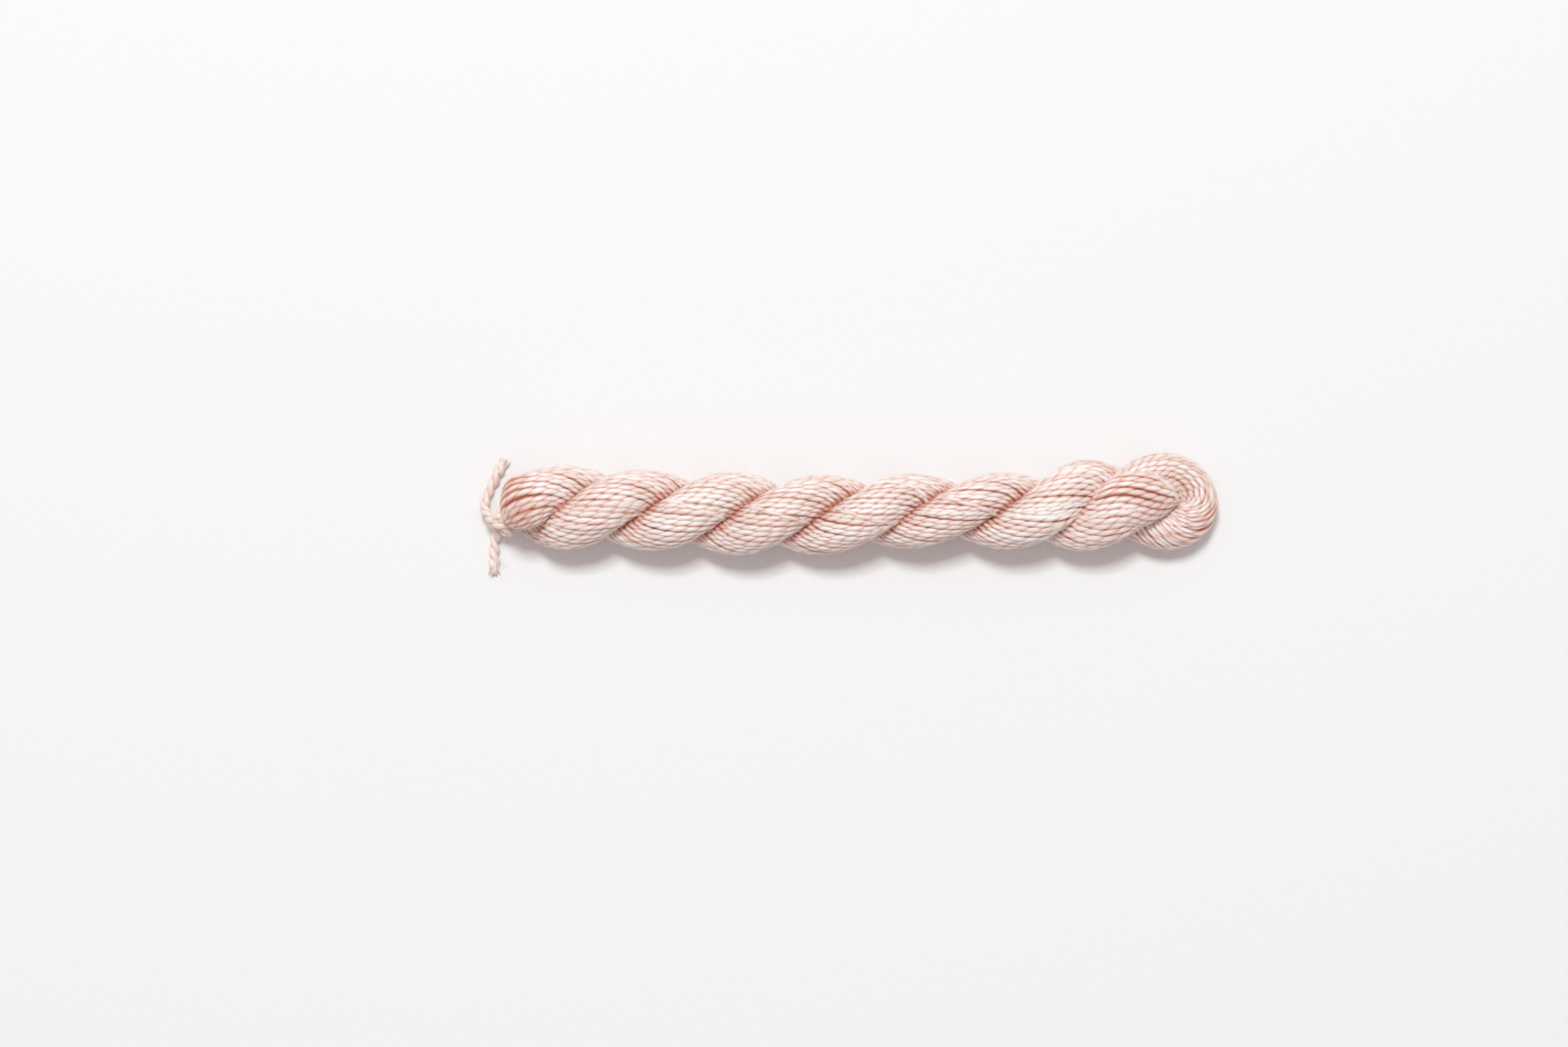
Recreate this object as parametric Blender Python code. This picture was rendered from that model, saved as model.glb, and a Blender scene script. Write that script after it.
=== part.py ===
"""Skein of silk embroidery thread.

A long loop of wound thread is folded over a tie, and its two bundles are twisted round each other.
One bundle ends in a ring, the head, and the other is tucked through it. The tie is a short cord:
it runs round the fold, is knotted beside it and leaves two free ends on the surface.

The tables are in millimetres. +X runs along the skein to its head, and +Z is up. The origin is the
bottom centre of the skein.
"""

from collections import namedtuple
import math

import bmesh
import bpy
from mathutils import Vector

MM = 0.001

# The two bundles where they are twisted
ORBIT = 4.8  # from the skein's axis to the middle of a bundle
THICK = 5.5  # half of a bundle's thickness, away from the axis
BROAD = 6.35  # half of a bundle's breadth, round the axis
CORE = 3.4  # radius of the threads on the axis, where the bundles press into each other
PRESSED = 0.6  # how far the lowest threads are pressed flat by the skein's weight
AXIS_HEIGHT = ORBIT + THICK - PRESSED

# One row for each quarter turn of the twist. Odd rows have the bundles side by side and even rows
# have one above the other. y is how far the skein bends aside, and girth scales its width.
Turn = namedtuple("Turn", "quarter x y girth")
TURNS = [
    Turn(0, -88.0, -0.9, 1.02),
    Turn(1, -77.0, -0.9, 1.03),
    Turn(2, -66.2, -0.8, 1.03),
    Turn(3, -55.2, -1.7, 0.97),
    Turn(4, -44.1, -2.2, 1.00),
    Turn(5, -32.5, -2.5, 1.00),
    Turn(6, -21.7, -2.9, 0.97),
    Turn(7, -10.1, -2.8, 0.96),
    Turn(8, 2.2, -2.3, 0.93),
    Turn(9, 13.0, -1.9, 0.90),
    Turn(10, 25.5, -1.4, 0.86),
    Turn(11, 36.2, -1.8, 0.93),
    Turn(12, 47.6, -1.7, 1.00),
    Turn(13, 57.7, -0.4, 1.10),
    Turn(14, 67.1, 0.4, 1.12),
    Turn(15, 78.5, 0.4, 1.15),
]
HALF_QUARTERS = 0.5
UPPER_START = 0.5  # the quarter at which each bundle has left the fold
LOWER_START = 1.0
TWIST_END = 14.0

# The fold: one row for each section of a bundle between the neck that the tie grips and the twist
Section = namedtuple("Section", "x y z thick broad")
BEND_CENTRE = Vector((-84.4, -0.8, 8.6))  # the bundles bend round it, and the tie passes by it
FOLD_UPPER = [
    Section(-88.3, -2.0, 8.7, 2.0, 2.0),
    Section(-88.9, -1.9, 10.7, 2.1, 2.4),
    Section(-89.6, -1.3, 12.4, 2.7, 4.2),
    Section(-88.6, -0.1, 13.8, 3.6, 6.2),
    Section(-86.1, 1.3, 14.5, 4.5, 7.0),
]
FOLD_LOWER = [
    Section(-88.3, -2.0, 9.3, 2.0, 2.0),
    Section(-88.4, -2.0, 7.3, 2.2, 2.3),
    Section(-87.8, -2.6, 5.3, 2.9, 3.0),
    Section(-85.6, -4.5, 4.2, 3.8, 3.8),
    Section(-81.6, -6.3, 6.1, 4.4, 4.5),
]

# The head: the first bundle goes once round as a ring, and the second dips into it
RING = [
    Section(73.9, -5.3, 5.0, 5.3, 5.0),
    Section(80.5, -6.9, 5.1, 5.3, 5.0),
    Section(85.7, -4.4, 5.2, 5.3, 5.0),
    Section(87.6, 0.3, 5.5, 5.3, 5.0),
    Section(85.4, 5.2, 6.0, 5.2, 5.0),
    Section(80.0, 7.7, 7.2, 5.0, 5.0),
    Section(74.4, 7.1, 9.0, 4.9, 4.9),
    Section(69.4, 5.0, 11.0, 4.4, 4.4),
    Section(65.0, 1.9, 12.2, 3.4, 3.4),
]
RING_JOIN = 2  # the ring's first sections, which the bundle that leads into it shares
TUCK = [
    Section(73.9, 1.9, 13.2, 4.7, 6.6),
    Section(78.6, 3.6, 11.5, 3.9, 5.6),
    Section(82.1, 5.0, 8.9, 3.0, 4.2),
    Section(83.5, 5.5, 5.2, 2.4, 3.2),
]
STATION_STEP = 2.6
SIDES = 16

# The tie: its route from the tip of the upper free end, through the knot, round the neck, through
# the knot again, to the tip of the lower free end
TIE_RADIUS = 1.0
TIE_REST = TIE_RADIUS + 0.03
TIE_STEP = 1.3
Point = namedtuple("Point", "x y z")
TIE_UPPER_END = [
    Point(-93.0, 11.6, TIE_REST),
    Point(-94.0, 9.3, TIE_REST),
    Point(-95.5, 6.2, TIE_REST),
    Point(-97.2, 2.3, 1.3),
    Point(-98.0, -0.4, 2.6),
    Point(-97.3, -2.4, 4.6),
    Point(-95.9, -4.1, 6.8),
]
TIE_FIRST_TURN = [
    Point(-93.9, -5.3, 8.2),
    Point(-92.3, -6.0, 7.8),
    Point(-91.4, -6.8, 6.7),
    Point(-91.7, -7.7, 5.4),
    Point(-92.8, -6.7, 4.9),
    Point(-93.6, -5.0, 5.2),
    Point(-94.1, -3.3, 6.4),
    Point(-93.3, -2.1, 7.7),
]
TIE_WRAP = [
    Point(-92.2, -1.1, 7.9),
    Point(-90.6, 0.8, 8.0),
    Point(-88.3, 1.6, 7.7),
    Point(-86.2, 0.7, 7.5),
    Point(-84.9, -1.2, 8.0),
    Point(-85.1, -3.2, 9.3),
    Point(-86.3, -4.8, 9.8),
    Point(-88.3, -5.6, 9.1),
    Point(-90.4, -4.9, 8.6),
    Point(-92.0, -4.1, 8.8),
]
TIE_SECOND_TURN = [
    Point(-93.5, -3.7, 9.0),
    Point(-94.8, -3.6, 7.6),
    Point(-95.7, -4.6, 5.6),
    Point(-95.4, -5.9, 4.2),
    Point(-94.4, -6.9, 3.4),
]
TIE_LOWER_END = [
    Point(-94.3, -7.7, 2.9),
    Point(-95.0, -8.5, 2.3),
    Point(-95.4, -10.0, 1.6),
    Point(-95.5, -12.4, 1.1),
    Point(-95.5, -15.2, TIE_REST),
    Point(-95.6, -18.3, TIE_REST),
]

SILK = ("silk_pink", (0.74, 0.50, 0.43, 1.0), 0.42)
TIE_SILK = ("silk_tie", (0.80, 0.60, 0.54, 1.0), 0.40)


def clear_scene():
    for obj in list(bpy.data.objects):
        bpy.data.objects.remove(obj, do_unlink=True)


def new_collection(name, rendered=True):
    collection = bpy.data.collections.new(name)
    collection.hide_render = not rendered
    bpy.context.scene.collection.children.link(collection)
    return collection


def silk_material(name, color, roughness):
    material = bpy.data.materials.new(name)
    material.use_nodes = True
    shader = material.node_tree.nodes["Principled BSDF"]
    shader.inputs["Base Color"].default_value = color
    shader.inputs["Roughness"].default_value = roughness
    shader.inputs["Metallic"].default_value = 0.0
    material.diffuse_color = color
    return material


def smooth_rows(rows, step):
    """Rows of numbers, place first, read at even steps from a smooth curve through the given ones."""
    chords = [math.dist(a[:3], b[:3]) for a, b in zip(rows, rows[1:])]
    at = [0.0]
    for chord in chords:
        at.append(at[-1] + chord)

    def slope(i, k):
        low = max(i - 1, 0)
        high = min(i + 1, len(rows) - 1)
        return (rows[high][k] - rows[low][k]) / (at[high] - at[low])

    def between(i, t):
        span = chords[i]
        return [
            (2 * t**3 - 3 * t**2 + 1) * rows[i][k]
            + (t**3 - 2 * t**2 + t) * span * slope(i, k)
            + (3 * t**2 - 2 * t**3) * rows[i + 1][k]
            + (t**3 - t**2) * span * slope(i + 1, k)
            for k in range(len(rows[0]))
        ]

    fine = 24
    dense = [between(i, j / fine) for i in range(len(chords)) for j in range(fine)]
    dense.append(list(rows[-1]))
    length = sum(math.dist(a[:3], b[:3]) for a, b in zip(dense, dense[1:]))
    count = max(2, round(length / step))
    picked = [dense[0]]
    walked = 0.0
    for before, after in zip(dense, dense[1:]):
        walked += math.dist(before[:3], after[:3])
        if walked >= length * len(picked) / count and len(picked) < count:
            picked.append(after)
    picked.append(dense[-1])
    return picked


def turn_at(quarter):
    """x, y and girth of the twist at a quarter turn that needn't be whole."""
    i = min(max(int(quarter), 0), len(TURNS) - 2)
    t = quarter - i
    before, here, after, last = (TURNS[min(max(i + k, 0), len(TURNS) - 1)] for k in (-1, 0, 1, 2))
    found = []
    for name in ("x", "y", "girth"):
        p0, p1, p2, p3 = (getattr(turn, name) for turn in (before, here, after, last))
        if i == 0:
            p0 = 2 * p1 - p2
        found.append(
            p1
            + 0.5 * t * (p2 - p0 + t * (2 * p0 - 5 * p1 + 4 * p2 - p3 + t * (3 * (p1 - p2) + p3 - p0)))
        )
    return found


def twist_rows(start, phase):
    """Sections of one bundle through the twist: place, outward direction, thick, broad, girth."""
    rows = []
    steps = round((TWIST_END - start) / HALF_QUARTERS)
    for i in range(steps + 1):
        quarter = start + i * HALF_QUARTERS
        x, y, girth = turn_at(quarter)
        angle = math.pi / 2 * quarter + phase
        side = math.sin(angle)
        up = math.cos(angle)
        place = (x, y + ORBIT * girth * side, AXIS_HEIGHT + ORBIT * up)
        rows.append((*place, 0.0, side, up, THICK, BROAD, girth))
    return rows


def core_rows():
    """Round sections along the skein's axis, inside the twist."""
    rows = []
    for turn in TURNS[1:-2]:
        rows.append((turn.x, turn.y, AXIS_HEIGHT, 0.0, 0.0, 1.0, CORE, CORE, 1.0))
    return rows


def end_rows(sections, outward=None):
    """Sections outside the twist. With no outward direction given, it points away from the fold's middle."""
    rows = []
    for section in sections:
        place = Vector(section[:3])
        away = outward or (place - BEND_CENTRE).normalized()
        rows.append((*place, *away, section.thick, section.broad, 1.0))
    return rows


def bundle_mesh(name, rows):
    """A closed loft of oval sections along the rows."""
    stations = smooth_rows(rows, STATION_STEP)
    places = [Vector(row[:3]) for row in stations]
    mesh = bmesh.new()
    rings = []
    for i, row in enumerate(stations):
        along = (places[min(i + 1, len(places) - 1)] - places[max(i - 1, 0)]).normalized()
        out = Vector(row[3:6])
        out = (out - out.dot(along) * along).normalized()
        across = along.cross(out)
        thick, broad, girth = row[6:9]
        ring = []
        for j in range(SIDES):
            angle = 2 * math.pi * j / SIDES
            offset = thick * math.cos(angle) * out + broad * math.sin(angle) * across
            offset.y *= girth
            ring.append(mesh.verts.new((places[i] + offset) * MM))
        rings.append(ring)
    for ring, following in zip(rings, rings[1:]):
        for j in range(SIDES):
            k = (j + 1) % SIDES
            mesh.faces.new((ring[j], ring[k], following[k], following[j]))
    mesh.faces.new(list(reversed(rings[0])))
    mesh.faces.new(rings[-1])
    bmesh.ops.recalc_face_normals(mesh, faces=mesh.faces)
    data = bpy.data.meshes.new(name)
    mesh.to_mesh(data)
    mesh.free()
    return bpy.data.objects.new(name, data)


def tube_mesh(name, points, radius):
    """A cord: a curve with a round bevel and filled caps, made a closed mesh."""
    route = smooth_rows([tuple(point) for point in points], TIE_STEP)
    curve = bpy.data.curves.new(name, "CURVE")
    curve.dimensions = "3D"
    curve.bevel_depth = radius * MM
    curve.bevel_resolution = 2
    curve.use_fill_caps = True
    spline = curve.splines.new("POLY")
    spline.points.add(len(route) - 1)
    for point, place in zip(spline.points, route):
        point.co = (*(value * MM for value in place), 1.0)
    guide = bpy.data.objects.new(name, curve)
    bpy.context.scene.collection.objects.link(guide)
    bpy.context.view_layer.update()
    graph = bpy.context.evaluated_depsgraph_get()
    data = bpy.data.meshes.new_from_object(guide.evaluated_get(graph))
    bpy.data.objects.remove(guide, do_unlink=True)
    mesh = bmesh.new()
    mesh.from_mesh(data)
    bmesh.ops.remove_doubles(mesh, verts=mesh.verts, dist=0.00001)
    bmesh.ops.recalc_face_normals(mesh, faces=mesh.faces)
    mesh.to_mesh(data)
    mesh.free()
    return bpy.data.objects.new(name, data)


def joined(first, others, collection, helpers):
    """The first object with a Boolean union of the others, which become helpers."""
    collection.objects.link(first)
    for other in others:
        helpers.objects.link(other)
        other.hide_render = True
        other.display_type = "WIRE"
        union = first.modifiers.new("with " + other.name, "BOOLEAN")
        union.operation = "UNION"
        union.solver = "EXACT"
        union.object = other
    return first


def surface_cutter(helpers):
    """The block below the surface that the skein is pressed flat on."""
    length, width, depth = 220.0, 60.0, 10.0
    bpy.ops.mesh.primitive_cube_add(size=1, location=(0, 0, -depth / 2 * MM))
    block = bpy.context.object
    block.name = "surface_block"
    block.scale = (length * MM, width * MM, depth * MM)
    bpy.ops.object.transform_apply(location=False, rotation=False, scale=True)
    for owner in list(block.users_collection):
        owner.objects.unlink(block)
    helpers.objects.link(block)
    block.hide_render = True
    block.display_type = "WIRE"
    return block


def finish(obj, material):
    obj.data.materials.clear()
    obj.data.materials.append(material)
    obj.data.shade_smooth()


def make_skein(parts, helpers):
    down = (0.0, 0.0, -1.0)
    up = (0.0, 0.0, 1.0)
    ring = end_rows(RING, down)
    first = bundle_mesh(
        "skein", end_rows(FOLD_UPPER) + twist_rows(UPPER_START, 0.0) + ring[:RING_JOIN]
    )
    second = bundle_mesh(
        "second_bundle",
        end_rows(FOLD_LOWER) + twist_rows(LOWER_START, -math.pi) + end_rows(TUCK, up),
    )
    head = bundle_mesh("head_ring", ring)
    core = bundle_mesh("core", core_rows())
    skein = joined(first, [core, second, head], parts, helpers)
    cut = skein.modifiers.new("pressed flat", "BOOLEAN")
    cut.operation = "DIFFERENCE"
    cut.solver = "EXACT"
    cut.object = surface_cutter(helpers)
    finish(skein, silk_material(*SILK))


def make_tie(parts, helpers):
    """The tie in stretches that don't cross themselves, each sharing a point or two with the next."""
    upper = tube_mesh("tie", TIE_UPPER_END + TIE_FIRST_TURN[:3], TIE_RADIUS)
    stretches = [
        ("knot_first_turn", TIE_FIRST_TURN[1:]),
        ("wrap", TIE_FIRST_TURN[-1:] + TIE_WRAP),
        ("knot_second_turn", TIE_WRAP[-2:] + TIE_SECOND_TURN),
        ("lower_end", TIE_SECOND_TURN[-2:] + TIE_LOWER_END),
    ]
    others = [tube_mesh(name, points, TIE_RADIUS) for name, points in stretches]
    finish(joined(upper, others, parts, helpers), silk_material(*TIE_SILK))


clear_scene()
part_collection = new_collection("skein_of_silk_thread")
helper_collection = new_collection("helpers", rendered=False)
make_skein(part_collection, helper_collection)
make_tie(part_collection, helper_collection)
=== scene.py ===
# %% [markdown]
# # A skein of silk embroidery thread
# A skein is many metres of two-ply silk, wound in a long loop. The loop is folded in half over a
# short tie, and its two halves are twisted round each other like a rope. One half ends in a loose
# ring, the head, and the other is tucked through it, so the skein can't unwind.
#
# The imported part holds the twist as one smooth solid. This lesson lays the single threads on it.

import math
import random

import bmesh
import bpy
import numpy as np
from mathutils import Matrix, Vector


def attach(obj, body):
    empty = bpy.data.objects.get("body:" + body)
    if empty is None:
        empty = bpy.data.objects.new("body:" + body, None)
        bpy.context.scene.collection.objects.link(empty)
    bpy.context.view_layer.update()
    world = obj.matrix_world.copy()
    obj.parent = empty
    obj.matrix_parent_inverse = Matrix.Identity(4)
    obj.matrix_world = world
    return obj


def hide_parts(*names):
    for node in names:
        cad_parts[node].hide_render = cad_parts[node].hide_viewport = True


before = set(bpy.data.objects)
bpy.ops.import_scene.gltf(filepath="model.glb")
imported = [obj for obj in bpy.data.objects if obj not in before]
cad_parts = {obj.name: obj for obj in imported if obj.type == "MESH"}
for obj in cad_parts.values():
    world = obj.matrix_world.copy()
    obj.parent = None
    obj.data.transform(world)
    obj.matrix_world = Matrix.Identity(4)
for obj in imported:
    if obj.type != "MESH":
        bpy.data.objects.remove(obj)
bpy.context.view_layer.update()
MM = 0.001
print("the part holds", sorted(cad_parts))

# %% [markdown]
# ## The camera
# The skein is photographed from straight above. A camera that isn't turned looks down already,
# with the top of the picture towards +Y, so it only needs its place and its lens.

# %% Hang the camera above the skein
SENSOR = 36.0
LENS = 85.0
PICTURE_WIDTH = 405.6  # how much of the table the picture takes in, in millimetres
AIM = (-19.9, -5.1, 9.7)

lens = bpy.data.cameras.new("camera")
lens.sensor_width = SENSOR
lens.lens = LENS
lens.clip_end = 10.0
camera = bpy.data.objects.new("camera", lens)
distance = PICTURE_WIDTH * LENS / SENSOR
camera.location = (AIM[0] * MM, AIM[1] * MM, (AIM[2] + distance) * MM)
bpy.context.scene.collection.objects.link(camera)
bpy.context.scene.camera = camera
print("the camera hangs", round(distance), "mm above the middle of the skein")

# %% [markdown]
# ## A smooth line through a few places
# A maker thinks of a cord's way in a few places: out of the knot, round the neck, back again. The
# helper below reads a smooth curve through such rows at even steps. It treats every number after
# the place in the same way, so a thickness or a twist can ride along with it.

# %% Read a smooth curve at even steps
READINGS = 24  # between one given row and the next, before the even steps are picked


def smooth_rows(rows, step):
    """Rows, place first, read at even steps from a smooth curve through the given ones."""
    rows = np.array(rows, float)
    chords = np.linalg.norm(np.diff(rows[:, :3], axis=0), axis=1)
    at = np.concatenate([[0.0], np.cumsum(chords)])
    slopes = np.empty_like(rows)
    slopes[1:-1] = (rows[2:] - rows[:-2]) / (at[2:] - at[:-2])[:, None]
    slopes[0] = (rows[1] - rows[0]) / chords[0]
    slopes[-1] = (rows[-1] - rows[-2]) / chords[-1]
    dense = []
    for i, span in enumerate(chords):
        t = np.arange(0.0, 1.0, 1 / READINGS)[:, None]
        dense.append(
            (2 * t**3 - 3 * t**2 + 1) * rows[i]
            + (t**3 - 2 * t**2 + t) * span * slopes[i]
            + (3 * t**2 - 2 * t**3) * rows[i + 1]
            + (t**3 - t**2) * span * slopes[i + 1]
        )
    dense = np.vstack(dense + [rows[-1:]])
    walked = lengths_along(dense)
    even = np.linspace(0.0, walked[-1], max(2, round(walked[-1] / step)) + 1)
    return np.stack([np.interp(even, walked, column) for column in dense.T], axis=1)


def lengths_along(rows):
    """How far each row is from the first, walked along the line."""
    steps = np.linalg.norm(np.diff(rows[:, :3], axis=0), axis=1)
    return np.concatenate([[0.0], np.cumsum(steps)])


print("a straight 10 mm line in steps of 2:", len(smooth_rows([(0, 0, 0), (10, 0, 0)], 2)), "rows")

# %% [markdown]
# ## Two-ply thread
# Both the silk and its tie are two plies laid round each other, so a cut across them looks like an
# oval with a waist: slight in the skein, where the threads are pressed together, and deep in the
# loose tie. Blender sweeps such an outline along a curve, and the tilt of the curve's points turns
# it as it goes, which lays the plies. The sweep is then kept as a mesh.
#
# Every mesh point also remembers where it lies in its thread. The silk's finish needs that later,
# because its fibres have to follow the thread through every bend, and so do the painted shade in
# the groove between plies and the painted highlight on their crests.

# %% Cut an outline and sweep it
# Half of an outline: degrees from a ply's tip to the next one, and how far out it is there
PRESSED_PLY = [(0, 1.0), (33, 0.99), (64, 0.92), (90, 0.74), (116, 0.92), (147, 0.99)]
LOOSE_PLY = [(0, 1.04), (30, 1.0), (60, 0.84), (90, 0.50), (120, 0.84), (150, 1.0)]
ONE_FIBRE = [(degrees, 1.0) for degrees in range(0, 360, 72)]


def two_plies(half):
    """The corners of both plies, from those of one."""
    return half + [(180 + degrees, reach) for degrees, reach in half]


def cut_outline(name, corners):
    """An outline from its corners, given as degrees round it and millimetres from its middle."""
    outline = bpy.data.curves.new(name, "CURVE")
    outline.dimensions = "2D"
    places = []
    for degrees, reach in corners:
        angle = math.radians(degrees)
        places.append((reach * math.cos(angle), reach * math.sin(angle)))
    spline = outline.splines.new("POLY")
    spline.points.add(len(places) - 1)
    spline.use_cyclic_u = True
    for point, (x, y) in zip(spline.points, places):
        point.co = (x * MM, y * MM, 0.0, 1.0)
    shape = bpy.data.objects.new(name, outline)
    bpy.context.scene.collection.objects.link(shape)
    return shape, np.array(places)


def sweep(places, radii, tilts, outline):
    """A mesh that follows the places, with the outline scaled and turned at each of them."""
    curve = bpy.data.curves.new("route", "CURVE")
    curve.dimensions = "3D"
    curve.bevel_mode = "OBJECT"
    curve.bevel_object = outline
    spline = curve.splines.new("POLY")
    spline.points.add(len(places) - 1)
    corners = np.column_stack([places * MM, np.ones(len(places))])
    spline.points.foreach_set("co", corners.ravel())
    spline.points.foreach_set("radius", radii)
    spline.points.foreach_set("tilt", tilts)
    route = bpy.data.objects.new("route", curve)
    bpy.context.scene.collection.objects.link(route)
    bpy.context.view_layer.update()
    graph = bpy.context.evaluated_depsgraph_get()
    mesh = bpy.data.meshes.new_from_object(route.evaluated_get(graph))
    bpy.data.objects.remove(route, do_unlink=True)
    bpy.data.curves.remove(curve)
    return mesh


thread_outline = cut_outline("thread_outline", two_plies(PRESSED_PLY))
tie_outline = cut_outline("tie_outline", two_plies(LOOSE_PLY))
fibre_outline = cut_outline("fibre_outline", ONE_FIBRE)
print("a thread's outline has", len(thread_outline[1]), "corners")

# %% [markdown]
# ## From sweeps to a piece
# One piece holds many threads. Their sweeps go into one bmesh, the ends are closed, and what each
# mesh point knows about its thread is stored with it: `lay` is its place across and along the
# thread, `tone` says how pale the thread is, and a third value how far it looks out of the winding
# and is lit, which sets how much painted shade and painted highlight its colour gets.

# %% Gather sweeps into one piece
# the lit share of a thread with nothing beside it, so it gets almost no painted shade
FREE_FACING = 0.95  # how open a thread is that has nothing beside it
NO_GROOVE = 1.0  # shifts a single fibre's lay away from the groove that only two plies have


class Winding:
    """Threads that are gathered into one piece."""

    def __init__(self, name, outline):
        self.name = name
        self.outline, self.corners = outline
        self.mesh = bmesh.new()
        self.lay = []
        self.tone = []
        self.open = []

    def add(self, places, radii, tilts, tone, outward=None, painted_lit=None):
        """Lays one thread. outward points out of the winding; the last argument is 1 where it is
        on top and gets no painted shade.
        """
        swept = sweep(places, radii, tilts, self.outline)
        self.mesh.from_mesh(swept)
        count = len(self.corners)
        spots = np.zeros(len(swept.vertices) * 3)
        swept.vertices.foreach_get("co", spots)
        spots = spots.reshape(len(places), count, 3) / MM
        bpy.data.meshes.remove(swept)
        along = lengths_along(places)
        lay = np.empty((len(places), count, 3))
        lay[:, :, :2] = self.corners[None] * radii[:, None, None]
        lay[:, :, 2] = along[:, None]
        if self.outline is fibre_outline[0]:
            lay[:, :, 0] += NO_GROOVE
        self.lay.append(lay.reshape(-1, 3))
        self.tone.append(np.full(len(places) * count, tone))
        if outward is None:
            facing = np.full((len(places), count), FREE_FACING)
        else:
            across = np.einsum("ijk,ik->ij", spots - places[:, None], outward)
            facing = 0.5 + 0.5 * across / radii[:, None]
            facing = facing * painted_lit[:, None]
        self.open.append(np.clip(facing, 0.0, 1.0).ravel())

    def piece(self, finish, slot, *nodes):
        """Closes the ends and gives the piece that stands for the nodes."""
        ends = [edge for edge in self.mesh.edges if edge.is_boundary]
        bmesh.ops.holes_fill(self.mesh, edges=ends, sides=0)
        bmesh.ops.recalc_face_normals(self.mesh, faces=self.mesh.faces)
        data = bpy.data.meshes.new(self.name)
        self.mesh.to_mesh(data)
        self.mesh.free()
        data.shade_smooth()
        for name, kind, key, values in (
            ("lay", "FLOAT_VECTOR", "vector", self.lay),
            ("tone", "FLOAT", "value", self.tone),
            ("open", "FLOAT", "value", self.open),
        ):
            layer = data.attributes.new(name, kind, "POINT")
            layer.data.foreach_set(key, np.concatenate(values).astype(np.float32).ravel())
        data.materials.append(finish)
        piece = bpy.data.objects.new(self.name, data)
        bpy.context.scene.collection.objects.link(piece)
        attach(piece, "root")
        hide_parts(*nodes)
        triangles = sum(len(polygon.vertices) - 2 for polygon in data.polygons)
        print(self.name, "has", triangles, "triangles")
        return piece


print("a winding keeps", "lay, tone and open", "for every point")

# %% [markdown]
# ## Finishes as sums
# A finish is worked out in small sums: a streak here, less colour there. The class below wraps a
# node's socket, so that Python's own + - * build the nodes, and one method adds every other node.

# %% A small way to write finishes
class Value:
    """A number inside a finish, which can be added to, taken away and multiplied."""

    def __init__(self, finish, socket):
        self.finish = finish
        self.socket = socket

    def sum(self, operation, first, second):
        return self.finish.node(
            "ShaderNodeMath", {"operation": operation}, {0: first, 1: second}
        )

    def __add__(self, other):
        return self.sum("ADD", self, other)

    def __radd__(self, other):
        return self.sum("ADD", other, self)

    def __sub__(self, other):
        return self.sum("SUBTRACT", self, other)

    def __rsub__(self, other):
        return self.sum("SUBTRACT", other, self)

    def __mul__(self, other):
        return self.sum("MULTIPLY", self, other)

    def __rmul__(self, other):
        return self.sum("MULTIPLY", other, self)


class Finish:
    """A material, with its constants on the shader and one method that adds nodes."""

    def __init__(self, name, constants):
        self.material = bpy.data.materials.new(name)
        self.material.use_nodes = True
        self.tree = self.material.node_tree
        self.shader = self.tree.nodes["Principled BSDF"]
        for socket, value in constants.items():
            self.shader.inputs[socket].default_value = value

    def node(self, kind, settings=None, sockets=None, output=0):
        """Adds a node of that kind, sets it up, links or fills its sockets, gives its output."""
        made = self.tree.nodes.new(kind)
        for name, value in (settings or {}).items():
            setattr(made, name, value)
        for name, value in (sockets or {}).items():
            if isinstance(value, Value):
                self.tree.links.new(value.socket, made.inputs[name])
            else:
                made.inputs[name].default_value = value
        return Value(self, made.outputs[output])

    def own(self, name, output="Fac"):
        """What the mesh points of a piece remember under that name."""
        return self.node("ShaderNodeAttribute", {"attribute_name": name}, output=output)

    def stretched(self, vector, scale):
        """A vector with each direction scaled."""
        return self.node(
            "ShaderNodeVectorMath", {"operation": "MULTIPLY"}, {0: vector, 1: scale}
        )

    def noise(self, vector, scale, detail=2.0, roughness=0.5):
        """A soft random pattern between 0 and 1."""
        return self.node(
            "ShaderNodeTexNoise",
            sockets={"Vector": vector, "Scale": scale, "Detail": detail, "Roughness": roughness},
        )

    def span(self, value, low, high, to_low=0.0, to_high=1.0):
        """A value's range from low to high, read from to_low to to_high and held at its ends."""
        ends = {"From Min": low, "From Max": high, "To Min": to_low, "To Max": to_high}
        return self.node("ShaderNodeMapRange", {"clamp": True}, {"Value": value, **ends})

    def mixed(self, share, first, second):
        """Two colours mixed."""
        return self.node(
            "ShaderNodeMix", {"data_type": "RGBA"}, {0: share, 6: first, 7: second}, output=2
        )

    def size(self, value):
        """A number without its sign."""
        return self.node("ShaderNodeMath", {"operation": "ABSOLUTE"}, {0: value})

    def feed(self, **links):
        """Links what changes over the surface to the shader."""
        for name, value in links.items():
            self.tree.links.new(value.socket, self.shader.inputs[name.replace("_", " ")])


print("a finish can be written as 1 - mask * 0.5")

# %% [markdown]
# ## The silk
# Silk is a bundle of long smooth filaments, so it shines in streaks along the ply, and light that
# sinks between two threads comes back deeper and warmer. The finish has the thread's own pale
# pink, a little change from thread to thread and along each of them, and streaks of fibre in the
# colour and the bump. Light and shade are also painted into the colour: painted shade, a deeper
# pink, in the groove between the plies, on the side of a thread that faces into the winding and
# where a thread turns into the crease; and a painted highlight, paler, on the plies' crests and
# the open side.

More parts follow.
